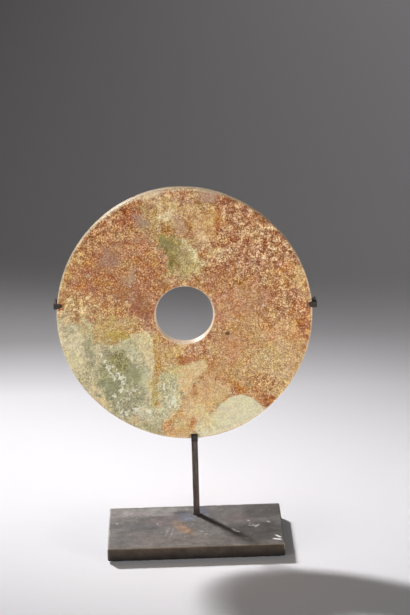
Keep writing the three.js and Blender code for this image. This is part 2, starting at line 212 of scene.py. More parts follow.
# The stone's zones, each laid over the ones before it. An outline is a list of
# (x, z) points about the disc's centre, as seen from the front; an oval is
# (x, z, half width, half height, turn in degrees). Then come the width of the
# zone's border, how far the border wanders, the stone's colour, how strongly its
# grain shows and how much the grain gathers into blotches.
ZONES = [
    # the left half of the skin, heavy with iron
    ([(-84, 20), (-74, 50), (-50, 72), (-22, 82), (-18, 58), (-14, 36), (-18, 14), (-34, 2),
      (-64, 2)], 6, 4, "#b7845c", 1.0, 0.3),
    ((-46, 60, 17, 11, 30), 8, 4, "#bb8a60", 1.05, 0.3),
    ((-56, 27, 15, 13, 0), 8, 4, "#b17b54", 0.85, 0.2),
    ((-31, 70, 10, 7, 30), 6, 4, "#a66c48", 0.95, 0.2),
    ((-50, 7, 15, 7, 0), 7, 4, "#be9165", 1.0, 0.4),
    ((-22, 44, 7, 6, 0), 5, 3, "#c08e6b", 1.0, 0.1),
    ((-16, 27, 8, 9, 20), 6, 3, "#b37b54", 0.85, 0.1),
    ((-64, 44, 6, 9, -30), 6, 3, "#b78454", 1.1, 0.5),
    # the right half, blotched more coarsely
    ([(16, 84), (52, 72), (88, 20), (88, -12), (40, -6), (24, 14), (12, 22), (14, 40), (16, 60)],
     8, 4, "#b98861", 1.15, 0.55),
    ((58, 45, 14, 15, 20), 8, 4, "#bd8e68", 1.3, 0.8),
    ((38, 55, 12, 12, 0), 8, 4, "#b98a63", 1.15, 0.6),
    ((31, 72, 12, 5, -30), 6, 3, "#b5835b", 1.0, 0.5),
    ((20, 61, 5, 6, 0), 5, 3, "#bd8750", 0.6, 0.4),
    ((66, 24, 8, 10, 10), 6, 4, "#bb8556", 1.1, 0.6),
    ((74, 22, 4, 9, 10), 4, 2, "#d2ab78", 0.8, 0.5),
    ((76, 12, 3, 5, 0), 4, 2, "#c9a076", 0.8, 0.4),
    ((22, 22, 10, 8, 30), 6, 3, "#b47f58", 0.9, 0.2),
    # the worn stretch beside the hole
    ((32, 5, 17, 14, 0), 9, 3, "#c2926d", 0.65, 0.2),
    ((47, 8, 7, 6, 0), 6, 3, "#b98a68", 0.7, 0.3),
    # the lower right, a fine ochre speckle
    ([(14, -14), (36, -4), (88, -14), (72, -60), (46, -62), (26, -48), (12, -42), (13, -28)],
     10, 4, "#c39a6c", 0.8, 0.2),
    ((62, -12, 13, 9, 0), 8, 3, "#d0a374", 0.85, 0.4),
    ((75, -8, 6, 8, 0), 5, 3, "#b88051", 0.9, 0.5),
    ((27, -24, 11, 10, 0), 8, 3, "#c69670", 0.6, 0.1),
    ((54, -34, 17, 14, -20), 10, 4, "#caaa80", 0.85, 0.3),
    ((68, -38, 5, 12, 25), 6, 3, "#cfac82", 0.65, 0.3),
    ((46, -45, 9, 6, -30), 6, 3, "#bb9062", 1.15, 0.3),
    ((51, -57, 6, 4, -40), 4, 2, "#ac7347", 0.8, 0.3),
    ((32, -49, 12, 2.5, -5), 3, 2, "#b98353", 0.8, 0.3),
    # under the hole
    ((3, -24, 17, 6, 0), 6, 3, "#c29970", 0.85, 0.2),
    ((-4, -20.5, 5, 3, 10), 3, 1.5, "#d3b083", 0.7, 0.2),
    ([(-6, -33), (-5, -27), (2, -26), (10, -27), (10, -29), (2, -31)], 2, 1, "#b3764c", 0.7, 0.2),
    ((16.5, -35, 2.6, 5, -12), 3, 1.5, "#b9845c", 0.5, 0.2),
    # the pale cap above the hole
    ([(-27, 84), (12, 82), (15, 66), (19, 52), (15, 40), (16, 30), (10, 21), (-11, 20),
      (-13, 34), (-13, 46), (-20, 54), (-26, 66)], 7, 4, "#c09a72", 0.95, 0.3),
    ((-17, 77.5, 7, 2.4, 14), 2.5, 1, "#e6d1ad", 0.3, 0.2),
    ((-6, 77, 9, 3.5, 0), 4, 3, "#b8835c", 0.8, 0.3),
    ((16, 76, 7, 4, -14), 3, 1.5, "#b99479", 0.35, 0.1),
    ((-20, 67, 5, 5, 0), 5, 3, "#b89468", 0.8, 0.2),
    ((-17, 57, 6, 9, -15), 6, 3, "#bc9a68", 0.95, 0.2),
    ((-25, 61, 3.5, 3, 0), 4, 2, "#ab8c76", 0.4, 0.1),
    ((-7, 69, 7, 4.5, -20), 5, 3, "#d0b384", 0.7, 0.4),
    ((-9.5, 65, 5, 2.2, 15), 3, 1.5, "#e6d5b3", 0.7, 0.4),
    ((4, 67, 5, 6, 0), 5, 3, "#ccaa80", 0.8, 0.3),
    ((0, 57, 5, 7, 0), 5, 2, "#c09c7b", 0.5, 0.1),
    ((-9, 54, 6, 4, -25), 4, 3, "#ae7f4c", 0.95, 0.3),
    ((5.5, 54, 2.6, 6, 15), 3, 2, "#aa7247", 0.8, 0.3),
    ((14, 55, 6, 9, 0), 6, 3, "#cfa878", 0.7, 0.3),
    ((13, 47.5, 3.5, 3, 0), 3, 1.5, "#e4c496", 0.5, 0.3),
    ((11, 40, 4, 5, 0), 4, 2, "#bf8b5e", 1.0, 0.3),
    ((21, 39, 5, 4, 0), 4, 2, "#d3b58a", 0.9, 0.4),
    # its olive heart, with cream streaks on the right
    ([(-13, 49), (-4, 52), (4, 49), (9, 40), (15, 33), (8, 24), (-8, 23), (-10, 33)],
     4, 2, "#bda776", 0.75, 0.2),
    ([(-13.5, 48), (-8, 50.5), (-3, 48), (-0.5, 43), (-2, 37), (-3.5, 30), (-8, 28.5),
      (-9.5, 35), (-12, 42)], 4, 1.4, "#a08d5a", 0.6, 0.3),
    ((-11, 46, 2.5, 4, 25), 3, 1, "#93895a", 0.3, 0.1),
    ((-4.5, 34, 3, 4, 0), 3, 1.5, "#98824d", 0.5, 0.2),
    ((3, 37, 4, 5, 30), 4, 2, "#af9a67", 0.4, 0.2),
    ([(0, 47), (3, 46), (9, 38), (10, 33), (6.5, 33), (4, 40)], 3, 1.4, "#d8cba0", 0.9, 0.4),
    # dull grey-tan scars on the left
    ((-46, 37, 6.5, 6, 20), 4, 3, "#ab8468", 0.5, 0.1),
    ((-34, 25, 3, 5.5, -25), 3, 2, "#bb9776", 0.4, 0.1),
    ((-26, 48, 5, 4, 0), 5, 3, "#b78868", 0.6, 0.1),
    # mauve-brown iron beside the hole
    ([(-41, 23), (-30, 17), (-21, 14), (-19, 4), (-22, -4), (-29, -1), (-33, 7), (-42, 14)],
     6, 2.5, "#a9785a", 0.6, 0.1),
    ((-29, 5, 5, 9, 15), 5, 2, "#a4745a", 0.5, 0.1),
    ((-14, 19.5, 6, 2.5, -30), 3, 1.5, "#ac7752", 0.5, 0.1),
    # cream breaking through on the left edge
    ((-67, 9, 9, 7, -20), 6, 4, "#c8a77c", 1.0, 0.7),
    ((-71, 36, 3.4, 10, -22), 4, 2, "#c6a066", 0.8, 0.4),
    ((-75.5, 18, 2.5, 6, -8), 3, 2, "#c4985f", 0.8, 0.4),
    # the ochre band over the green
    ([(-60, 1), (-44, 1), (-29, -2), (-27, -12), (-32, -22), (-60, -22)],
     5, 2.5, "#c2a674", 0.75, 0.2),
    ((-43, -13, 11, 5, -4), 4, 1.5, "#b99d5c", 0.55, 0.2),
    ((-32, -9, 4, 4, 0), 4, 2, "#c29c69", 0.8, 0.2),
    # the green field, bounded by a straight seam on its right
    ([(-86, 3), (-75, 2), (-66, -3), (-61, -9), (-58, -15.5), (-44, -16.5), (-33, -13),
      (-27, -8), (-21, -11), (-19.3, -20), (-19.6, -44), (-22.5, -56), (-15, -66), (-17, -84),
      (-60, -86), (-92, -40)], 3, 1, "#bdb493", 0.65, 0.4),
    # its cream left margin
    ([(-86, 3), (-75, 2), (-64, -8), (-62.5, -16), (-64, -30), (-68, -36), (-62, -46),
      (-72, -60), (-94, -30)], 3, 2, "#d4c8a6", 0.5, 0.5),
    ((-74, -7, 4, 3, 0), 3, 2, "#b9b291", 0.6, 0.4),
    ((-75, 1, 4, 5, 0), 3, 2, "#ccb78d", 0.9, 0.4),
    ((-63, -6, 5, 6, 0), 4, 2, "#c5b78f", 0.6, 0.4),
    ([(-64.5, -13), (-60, -14), (-57.5, -22), (-57.5, -31), (-62, -34), (-62.5, -22)],
     2, 1.2, "#aaa384", 0.5, 0.2),
    ((-66, -38, 5, 4, -40), 4, 2, "#b5aa8a", 0.7, 0.3),
    ((-54.5, -19.5, 3, 4, 0), 3, 1.5, "#c9bc99", 0.5, 0.3),
    ([(-61, -42), (-55, -43), (-49, -55), (-51, -60), (-60, -52)], 2.5, 1.2, "#d5c09a", 0.35, 0.2),
    # the green itself
    ([(-52, -17), (-40, -19), (-35, -27), (-26, -32), (-23, -38), (-26, -47), (-30, -62),
      (-40, -67), (-48, -58), (-56, -47), (-59, -38), (-53, -28)], 5, 2, "#a8a384", 0.65, 0.4),
    ((-41, -30, 8, 9, 10), 6, 2.5, "#8f8a5f", 0.7, 0.4),
    ((-47, -45, 7, 8, -20), 5, 2, "#939272", 0.4, 0.2),
    ((-31, -38, 7, 6, -10), 5, 2, "#9b9876", 0.2, 0.1),
    ((-37, -58, 9, 7, -30), 5, 2, "#9e9a7d", 0.6, 0.2),
    ((-38.5, -17.5, 8, 2.5, 0), 3, 1.5, "#c2bb9b", 0.5, 0.3),
    ((-32, -24, 4.5, 6, 20), 4, 2, "#c6bf9f", 0.6, 0.3),
    ((-25, -38, 2.5, 6, 0), 4, 1.5, "#c3c09e", 0.3, 0.2),
    ((-27, -64, 6, 5, 0), 5, 2, "#cbc5a8", 0.6, 0.4),
    ((-32, -68, 5, 3, -20), 3, 2, "#c5b28f", 0.5, 0.3),
    ((-24, -73, 6, 2.5, -12), 3, 2, "#aea37c", 0.5, 0.3),
    # cream along the seam, and the ochre vein that fills its lower end
    ([(-33, -12), (-19.4, -10), (-19.4, -44), (-22.5, -53), (-24.5, -46), (-22.5, -34),
      (-27, -24)], 2.5, 1, "#d6c79f", 0.5, 0.3),
    ((-26, -12, 6, 4, -10), 3, 2, "#dac8a0", 0.6, 0.3),
    ((-18, -24, 1.8, 15, 0), 2.5, 0.8, "#c9a56c", 0.6, 0.3),
    ((-20.5, -50, 2.4, 8.5, 3), 2, 0.8, "#b9a263", 0.6, 0.2),
    # tan, speckled skin between the seam and the lobe
    ([(-18, -14), (-8, -20), (-6, -27), (-6, -33), (-11, -37), (-17, -42), (-18, -28)],
     3, 1.5, "#c9a577", 0.75, 0.2),
    ((-17, -36, 1.8, 9, 6), 2.5, 1, "#bd9154", 0.7, 0.2),
    # the pale lobe below the hole: tan on the right, greyer green on the left
    ([(-18, -41), (-14, -38.5), (-9, -35.5), (-4, -32.8), (3, -30.8), (9, -29.2), (12.9, -28.6),
      (13.4, -32), (12.4, -37), (9, -40), (6, -42), (3.6, -46), (3, -49.6), (0.5, -51.5),
      (-1, -56), (-4, -60), (-7, -64), (-11, -67), (-15, -71), (-19, -68), (-20, -60),
      (-17.5, -56), (-19, -50)], 0.8, 0.35, "#dabf93", 0.45, 0.3),
    ((-8, -38, 6, 3.5, 25), 3, 1.2, "#cfc493", 0.5, 0.3),
    ((-12, -49, 6.5, 11, -8), 5, 1.5, "#b9b492", 0.75, 0.3),
    ((-8, -56, 5.5, 6.5, 0), 4, 1.5, "#bdb58f", 0.8, 0.4),
    ((-16, -62, 4.5, 7, 0), 4, 1.5, "#c0ba9b", 0.7, 0.4),
    # the peach-coloured apron, with an orange vein on its left
    ([(7, -42), (14, -38), (24, -45), (29, -50), (25, -54), (20, -59), (14, -64), (8, -70),
      (3.5, -76), (3, -84), (-10, -84), (-14, -76), (-10, -67), (-4, -60), (0.5, -52), (3.5, -47)],
     2.5, 1.2, "#d2b083", 0.5, 0.2),
    ((14, -42, 7, 3.5, 20), 4, 2, "#c99d74", 0.5, 0.2),
    ((5, -51, 3.5, 2, 0), 2.5, 1, "#b98a62", 0.4, 0.2),
    ((6, -61, 5, 6, -20), 4, 2, "#dcc496", 0.45, 0.2),
    ([(1, -52), (-1.5, -52.5), (-5, -60), (-9, -66), (-15.5, -70), (-15.5, -76), (-11, -76),
      (-8, -69), (-3, -62)], 2, 1, "#c69e69", 0.7, 0.2),
    ((-13.5, -72, 1.8, 4, 0), 2, 1, "#cb9c66", 0.6, 0.2),
    ((-4.5, -70, 4.5, 4.5, 0), 3, 1.2, "#ccb486", 0.6, 0.3),
    ((2.4, -72.5, 1.5, 4.5, -12), 2, 0.8, "#bd8552", 0.6, 0.2),
    ((-6, -76.5, 6, 2, 0), 2, 1, "#cfaa78", 0.5, 0.2),
    # the smooth pale dome on the lower right rim
    ([(3.3, -84), (4, -76.5), (9, -70.8), (14, -65.4), (18, -61.6), (22, -57.6), (26, -54.6),
      (31, -52.8), (35, -52.6), (39, -54), (43, -57), (47, -60.5), (50.5, -63.5), (50, -76),
      (24, -88)], 0.7, 0.3, "#ddd5b4", 0.35, 0.3),
    ((12, -69, 4, 6, -40), 5, 1.5, "#dbcaa0", 0.4, 0.3),
    ((6.5, -74, 2, 5, -25), 2, 1, "#d6c7a2", 0.6, 0.3),
    ((51.2, -61, 1.8, 1.6, -40), 1.4, 0.5, "#70412a", 0.4, 0.2),
    # small bruises, pits and a nick
    ((26.5, -12.5, 1.1, 0.8, 0), 0.8, 0.2, "#6b4630", 0.2, 0.1),
    ((24, -15.5, 0.8, 0.6, 0), 0.8, 0.2, "#7c533a", 0.2, 0.1),
    ((-78.6, -15, 1.4, 1.2, 0), 0.8, 0.2, "#fbf6ec", 0.1, 0.1),
]
# Fine veins: from (x, z) to (x, z), width, colour and strength.
VEINS = [
    (-11.5, 44, -8.5, 36, 1.8, "#77662f", 0.8),
    (-8.5, 36, -7, 29, 1.8, "#7d6a34", 0.7),
    (5, 26, 9, 28.5, 1.8, "#e2d3a6", 0.7),
    (9, 28.5, 13, 33, 1.8, "#e2d3a6", 0.6),
    (-2, 49, -6, 58, 1.4, "#d6c096", 0.5),
    (12, -31, 8, -29.5, 1.0, "#e8d8ae", 0.5),
    (14, -64.4, 21, -57.6, 1.2, "#a89a66", 0.7),
    (21, -57.6, 27, -53.4, 1.1, "#ab8e5c", 0.6),
    (-19, -14, -18.8, -30, 1.1, "#b88f55", 0.4),
    (-19.4, -44, -18.5, -30, 1.2, "#b89050", 0.5),
    (-22.4, -46, -23.8, -56, 1.2, "#e4dcb8", 0.6),
    (4.5, -41.5, 9, -39.6, 1.2, "#a8703f", 0.7),
    (-11, -41, -12, -58, 1.0, "#dcd6ba", 0.45),
    (-8, -44, -3, -60, 1.0, "#e3dbb8", 0.4),
    (-15, -44, -16, -55, 1.0, "#8f8b68", 0.4),
    (8, -66, 10, -72, 1.0, "#e9dcb8", 0.5),
    (-62, -7, -59, -14, 1.2, "#8f8a63", 0.5),
    (-64, -15, -58, -34, 1.2, "#8d8767", 0.4),
    (-77, 33, -69, 47, 1.4, "#b49a55", 0.5),
]
# Where lime has crept in as white specks: ovals, strongest in the middle.
CLOUDS = [
    (-49, -31, 7, 4, -45), (-44, -38, 8, 4, -50), (-41, -45, 2.5, 4, 0), (-35, -48, 4, 2, 30),
    (-45, -51, 2, 4, 0), (-38, -54, 2.5, 2, -40), (-34, -61, 6, 2, 25), (-42, -62, 6, 1.5, -40),
    (-24, -63, 3, 3, 0), (-10, -54, 3, 6, -10), (-14, -46, 1.5, 6, 0),
    (-60, -38, 3, 2, 0), (-18, -62, 3, 3, 0),
]
SKIN_TONE = "#ba8a63"
HOLE_CREAM = "#efdfc6"
# the rim's cream is a painted highlight, not the stone's own colour
RIM_HIGHLIGHT_CREAM = "#ecd6b4"
CREAM_AND_HIGHLIGHT_SHARE = 0.75
# Depths of the stone's low relief.
PIT_DEPTH = 0.05
WAVE_DEPTH = 0.09
CHIP_DEPTH = 0.35
RIM_WEAR = 0.05


def oval_reach(x, z, oval):
    """Roughly how far a point lies inside an oval, in mm: positive within."""
    centre_x, centre_z, half_x, half_z, turn = oval
    turn = math.radians(turn)
    u = (x - centre_x) * math.cos(turn) + (z - centre_z) * math.sin(turn)
    v = (z - centre_z) * math.cos(turn) - (x - centre_x) * math.sin(turn)
    return (1 - np.hypot(u / half_x, v / half_z)) * min(half_x, half_z)


def line_gap(x, z, ax, az, bx, bz):
    """Distance to the line from (ax, az) to (bx, bz): the point's share along it,
    kept between 0 and 1, gives the nearest place on it."""
    along = ((x - ax) * (bx - ax) + (z - az) * (bz - az)) / ((bx - ax) ** 2 + (bz - az) ** 2)
    along = np.clip(along, 0, 1)
    return np.hypot(x - ax - along * (bx - ax), z - az - along * (bz - az))


def outline_reach(x, z, corners):
    """How far a point lies inside a closed outline, in mm: the distance to its
    nearest side, positive where a line to the right crosses it an odd number of times."""
    points = np.array(corners, float)
    for _ in range(2):  # cut each corner off at a quarter of its sides, twice
        after = np.roll(points, -1, axis=0)
        points = np.stack([points * 0.75 + after * 0.25, points * 0.25 + after * 0.75], 1)
        points = points.reshape(-1, 2)
    nearest = np.full(x.shape, np.inf)
    inside = np.zeros(x.shape, bool)
    for (ax, az), (bx, bz) in zip(points, np.roll(points, -1, axis=0)):
        nearest = np.minimum(nearest, line_gap(x, z, ax, az, bx, bz))
        if az != bz:
            crosses = (az > z) != (bz > z)
            inside ^= crosses & (x < ax + (z - az) * (bx - ax) / (bz - az))
    return np.where(inside, nearest, -nearest)


def line_cover(x, z, ax, az, bx, bz, width):
    """1 on the line from (ax, az) to (bx, bz), fading to 0 beyond its width."""
    return 1 - smooth(line_gap(x, z, ax, az, bx, bz), width * 0.25, width * 0.75)


flat = disc_local.reshape(-1, 3)
x, z = flat[:, 0], flat[:, 2]
tone = np.tile(paint(SKIN_TONE), (len(flat), 1))
contrast = np.full(len(flat), 1.0)
coarse = np.full(len(flat), 0.3)
drift_x = clouds(flat, 9, 11, 4)
drift_z = clouds(flat, 9, 21, 4)
ragged = clouds(flat, 2.4, 31, 2)
for shape, border, wander, hue, strength, gathering in ZONES:
    along_x, along_z = x + 1.6 * wander * drift_x, z + 1.6 * wander * drift_z
    if isinstance(shape, tuple):
        reach = oval_reach(along_x, along_z, shape)
    else:
        reach = outline_reach(along_x, along_z, shape)
    cover = smooth(reach + border * ragged, -border / 2, border / 2)
    tone += (paint(hue) - tone) * cover[:, None]
    contrast += (strength - contrast) * cover
    coarse += (gathering - coarse) * cover
vein_x, vein_z = x + 1.5 * drift_x, z + 1.5 * drift_z
for ax, az, bx, bz, width, hue, strength in VEINS:
    cover = strength * line_cover(vein_x, vein_z, ax, az, bx, bz, width)
    tone += (paint(hue) - tone) * (cover * smooth(ragged, -0.6, 0.2))[:, None]
cloud = np.max([smooth(oval_reach(x + 3 * drift_x, z + 3 * drift_z, oval), -3, 2.5)
                for oval in CLOUDS], axis=0)

# The hole's wall is paler stone, bared by the drill. The rim is painted pale cream all round: a painted
# highlight for the bright line that light draws along its rounded edge.
radius_flat = np.hypot(x, z)
rim = smooth(radius_flat, RING_RADIUS - 1.2, RING_RADIUS - 0.2)
bore = 1 - smooth(radius_flat, HOLE_MOUTH, HOLE_MOUTH + 0.7)
wall = np.maximum(rim, bore)
tone += (paint(HOLE_CREAM) - tone) * CREAM_AND_HIGHLIGHT_SHARE * bore[:, None]
tone += (paint(RIM_HIGHLIGHT_CREAM) - tone) * CREAM_AND_HIGHLIGHT_SHARE * rim[:, None]
contrast *= 1 - 0.6 * bore

# Low relief: long sanded waves, a pitted skin where the iron sits, small chips on the rim.
inward = np.sign(flat[:, 1]) * (1 - wall)
pitting = PIT_DEPTH + PIT_DEPTH * clouds(flat, 2.2, 71, 2)
waves = WAVE_DEPTH + WAVE_DEPTH * clouds(flat * [1, 0.2, 1], 24, 72, 2)
flat = flat - np.stack([0 * x, inward * (waves + contrast * pitting), 0 * x], 1)
chips = smooth(clouds(flat, 3.2, 73, 3), 0.42, 0.75)
chips = chips * smooth(radius_flat, RING_RADIUS - 2.5, RING_RADIUS)
worn_off = CHIP_DEPTH * chips + RIM_WEAR * (1 + clouds(flat, 6, 74, 2))
shrink = 1 - worn_off * (radius_flat > 60) / radius_flat
flat = flat * np.stack([shrink, np.ones_like(shrink), shrink], 1)

stone = skin("disc_stone", (flat + np.array(disc_centre) / MM).reshape(disc_local.shape))
for name, values in (
    ("stone_tone", tone), ("grain_strength", contrast), ("gathering", coarse), ("lime", cloud),
):
    store(stone, name, values)


def add(tree, kind, wires=None, **settings):
    """Adds one node: settings are its own properties, wires its inputs by name or
    number, each a value or another node's output."""
    made = tree.nodes.new("ShaderNode" + kind)
    for name, value in settings.items():
        setattr(made, name, value)
    for socket, value in (wires or {}).items():
        if isinstance(value, bpy.types.NodeSocket):
            tree.links.new(value, made.inputs[socket])
        else:
            made.inputs[socket].default_value = value
    return made


def new_material(name):
    """An empty node material with its Principled shader, and its coordinates in mm."""
    material = bpy.data.materials.new(name)
    material.use_nodes = True
    tree = material.node_tree
    shader = tree.nodes["Principled BSDF"]
    place = add(tree, "TexCoord").outputs["Object"]
    in_mm = add(tree, "Mapping", {"Vector": place, "Scale": (1000, 1000, 1000)}).outputs[0]
    return material, tree, shader, in_mm


def blend(tree, share, first, second, mode="MIX"):
    """Mixes two colours by a share and gives the result's socket."""
    return add(tree, "Mix", {0: share, 6: first, 7: second},
               data_type="RGBA", blend_type=mode).outputs[2]


def rgba(hex_colour):
    """The opaque linear colour that a node's socket takes."""
    return (*paint(hex_colour), 1)


# Weathered nephrite: an opaque granular skin over waxy, slightly translucent
# stone, worn to a low polish that the pits break up.
jade, tree, shader, in_mm = new_material("weathered_nephrite")
stone_tone = add(tree, "Attribute", attribute_name="stone_tone").outputs["Color"]
strength = add(tree, "Attribute", attribute_name="grain_strength").outputs["Fac"]
gathering = add(tree, "Attribute", attribute_name="gathering").outputs["Fac"]
cloudiness = add(tree, "Attribute", attribute_name="lime").outputs["Fac"]
grain = add(tree, "TexNoise", {"Vector": in_mm, "Scale": 1.0, "Detail": 2.0, "Roughness": 0.7,
                               "Distortion": 0.5})
cluster = add(tree, "TexNoise", {"Vector": in_mm, "Scale": 0.28, "Detail": 3.0, "Roughness": 0.6})
fleck = add(tree, "TexNoise", {"Vector": in_mm, "Scale": 1.25, "Detail": 1.0, "Roughness": 0.5,
                               "Distortion": 0.4})
pull = add(tree, "Math", {0: gathering, 1: 0.9, 2: 0.15}, operation="MULTIPLY_ADD").outputs[0]
gathered = add(tree, "Math", {0: cluster.outputs[0], 1: 0.5}, operation="SUBTRACT").outputs[0]
pattern = add(tree, "Math", {0: gathered, 1: pull, 2: grain.outputs[0]},
              operation="MULTIPLY_ADD").outputs[0]
swing = add(tree, "MapRange", {"Value": pattern, "From Min": 0.32, "From Max": 0.64,
                               "To Min": -2.1, "To Max": 1.7}).outputs[0]
swing = add(tree, "Math", {0: swing, 1: strength}, operation="MULTIPLY").outputs[0]
# the skin drifts between orange, ochre and dull pink over a centimetre or so
hue_drift = add(tree, "TexNoise", {"Vector": in_mm, "Scale": 0.14, "Detail": 3.0, "Roughness": 0.65})
dull_place = add(tree, "Mapping", {"Vector": in_mm, "Location": (300, 0, 0)}).outputs[0]
dull_drift = add(tree, "TexNoise", {"Vector": dull_place, "Scale": 0.16, "Detail": 3.0,
                                    "Roughness": 0.65})
hue_turn = add(tree, "MapRange", {"Value": hue_drift.outputs[0], "From Min": 0.3, "From Max": 0.7,
                                  "To Min": 0.486, "To Max": 0.514}).outputs[0]
richness = add(tree, "MapRange", {"Value": dull_drift.outputs[0], "From Min": 0.3, "From Max": 0.7,
                                  "To Min": 0.88, "To Max": 1.15}).outputs[0]
colour = add(tree, "HueSaturation", {"Hue": hue_turn, "Saturation": richness,
                                     "Color": stone_tone}).outputs[0]
# a grain darker than the mean is also redder, a lighter one creamier
power = add(tree, "Math", {0: swing, 1: -0.3, 2: 1.0}, operation="MULTIPLY_ADD").outputs[0]
colour = add(tree, "Gamma", {0: colour, 1: power}).outputs[0]
gain = add(tree, "Math", {0: swing, 1: 0.12, 2: 1.0}, operation="MULTIPLY_ADD").outputs[0]
colour = add(tree, "VectorMath", {0: colour, "Scale": gain}, operation="SCALE").outputs[0]
colour = blend(tree, swing, colour, (1.06, 1.0, 0.82, 1), "MULTIPLY")
# scattered brown flecks of iron
fleck_share = add(tree, "MapRange", {"Value": fleck.outputs[0], "From Min": 0.41, "From Max": 0.33,
                                     "To Max": 0.9}).outputs[0]
fleck_share = add(tree, "Math", {0: fleck_share, 1: strength}, operation="MULTIPLY").outputs[0]
colour = blend(tree, fleck_share, colour, (0.5, 0.46, 0.38, 1), "MULTIPLY")
snow = add(tree, "TexNoise", {"Vector": in_mm, "Scale": 0.42, "Detail": 4.0, "Roughness": 0.65,
                              "Distortion": 0.8})
snowed = add(tree, "Math", {0: cloudiness, 1: 0.16, 2: snow.outputs[0]},
             operation="MULTIPLY_ADD").outputs[0]
snow_share = add(tree, "MapRange", {"Value": snowed, "From Min": 0.63, "From Max": 0.72,
                                    "To Max": 0.85}).outputs[0]
colour = blend(tree, snow_share, colour, rgba("#e9e6d0"))
tree.links.new(colour, shader.inputs["Base Color"])
polish = add(tree, "MapRange", {"Value": grain.outputs[0], "From Min": 0.3, "From Max": 0.7,
                                "To Min": 0.36, "To Max": 0.5}).outputs[0]
tree.links.new(polish, shader.inputs["Roughness"])
relief = add(tree, "Bump", {"Height": pattern, "Strength": 0.35, "Distance": 0.12 * MM}).outputs[0]
tree.links.new(relief, shader.inputs["Normal"])
shader.inputs["IOR"].default_value = 1.61
shader.inputs["Specular IOR Level"].default_value = 0.25
shader.inputs["Subsurface Weight"].default_value = 0.15
shader.inputs["Subsurface Radius"].default_value = (1.0, 0.7, 0.4)
shader.inputs["Subsurface Scale"].default_value = 1.2 * MM

stone.data.materials.append(jade)
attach(stone, "root")
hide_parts("jade_disc")


# ---- The steel block ----
# The stand's foot: flat mild steel bar sawn to length, its edges filed and its top
# swirled with an abrasive disc, then blackened. The top has since been rubbed grey.

def bar(name, left_rail, right_rail, up, half_heights, corner, across_steps, up_steps):
    """A solid bar along two rails. At each station a rounded rectangle spans from
    rail to rail and half a height up and down; both ends are closed flat."""
    left_rail, right_rail = np.asarray(left_rail, float), np.asarray(right_rail, float)
    stations = len(left_rail)
    half_heights = np.broadcast_to(np.asarray(half_heights, float), stations)
    corner = np.broadcast_to(np.asarray(corner, float), stations)
    centres = (left_rail + right_rail) / 2
    spans = (right_rail - left_rail) / 2
    half_spans = np.linalg.norm(spans, axis=1)
    rows = []
    for i in range(stations):
        cut = min(corner[i], half_spans[i] * 0.98, half_heights[i] * 0.98)
        wide, tall = half_spans[i] - cut, half_heights[i] - cut
        rise = np.linspace(0, tall, up_steps + 1)
        rise = (rise[1:] + rise[:-1]) / 2
        flat_top = np.linspace(wide, -wide, across_steps + 2)[1:-1]
        upper = np.concatenate([
            np.stack([half_spans[i] + 0 * rise, rise], 1),
            arc((wide, tall), cut, 0, 90, 5),
            np.stack([flat_top, half_heights[i] + 0 * flat_top], 1),
            arc((-wide, tall), cut, 90, 180, 5),
            np.stack([-half_spans[i] + 0 * rise, rise[::-1]], 1),
        ])
        loop = np.concatenate([upper, upper[::-1] * [1, -1]])
        rows.append(centres[i] + loop[:, :1] * spans[i] / half_spans[i] + loop[:, 1:] * np.array(up))
    grid = np.stack(rows)
    count = grid.shape[1]
    k = np.arange(count // 2 - 1)
    start_cap = np.stack([k + 1, k, count - 1 - k, count - 2 - k], 1)
    end_cap = start_cap[:, ::-1] + (stations - 1) * count
    return skin(name, grid, start_cap.tolist() + end_cap.tolist())


def points_of(piece):
    """The mesh's points in millimetres."""
    flat = np.zeros(len(piece.data.vertices) * 3, np.float32)
    piece.data.vertices.foreach_get("co", flat)
    return flat.reshape(-1, 3).astype(float) / MM


def move_to(piece, points):
    """Puts the mesh's points at new places in millimetres."""
    piece.data.vertices.foreach_set("co", (points * MM).astype(np.float32).ravel())
    piece.data.update()


def strokes(x, y, marks):
    """How strongly each place is marked: the strongest of the lines that cover it."""
    total = np.zeros_like(x)
    for ax, ay, bx, by, width, strength in marks:
        total = np.maximum(total, strength * line_cover(x, y, ax, ay, bx, by, width))
    return total


def drawn_in(radius, from_end):
    """How far a round corner has drawn in at a distance from its end: the radius
    less the height of its quarter circle there."""
    left = np.clip(radius - from_end, 0, None)
    return radius - np.sqrt(np.clip(radius ** 2 - left ** 2, 0, None))


BLOCK_CORNER = 1.2
BLOCK_ARRIS = 0.5
# How deep the filing wanders, the edges are worn and their dents go.
FILING_DEPTH, EDGE_WEAR, DENT_DEPTH = 0.02, 0.04, 0.12
block_low, block_high = (np.array(end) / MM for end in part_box("steel_block"))
block_middle = (block_low + block_high) / 2
block_half = (block_high - block_low) / 2
inward = np.concatenate([[0, 0.05, 0.15, 0.3, 0.5, 0.8, 1.2], np.arange(1.8, block_half[0], 0.6)])
along = np.concatenate([-block_half[0] + inward, (block_half[0] - inward)[::-1]])
from_end = np.concatenate([inward, inward[::-1]])
half_depth = block_half[1] - drawn_in(BLOCK_CORNER, from_end)
half_height = block_half[2] - drawn_in(BLOCK_ARRIS, from_end)
rail_z = block_middle[2] + 0 * along
block = bar(
    "foot_block",
    np.stack([along + block_middle[0], block_middle[1] - half_depth, rail_z], 1),
    np.stack([along + block_middle[0], block_middle[1] + half_depth, rail_z], 1),
    (0, 0, 1), half_height, BLOCK_ARRIS, 130, 6,
)

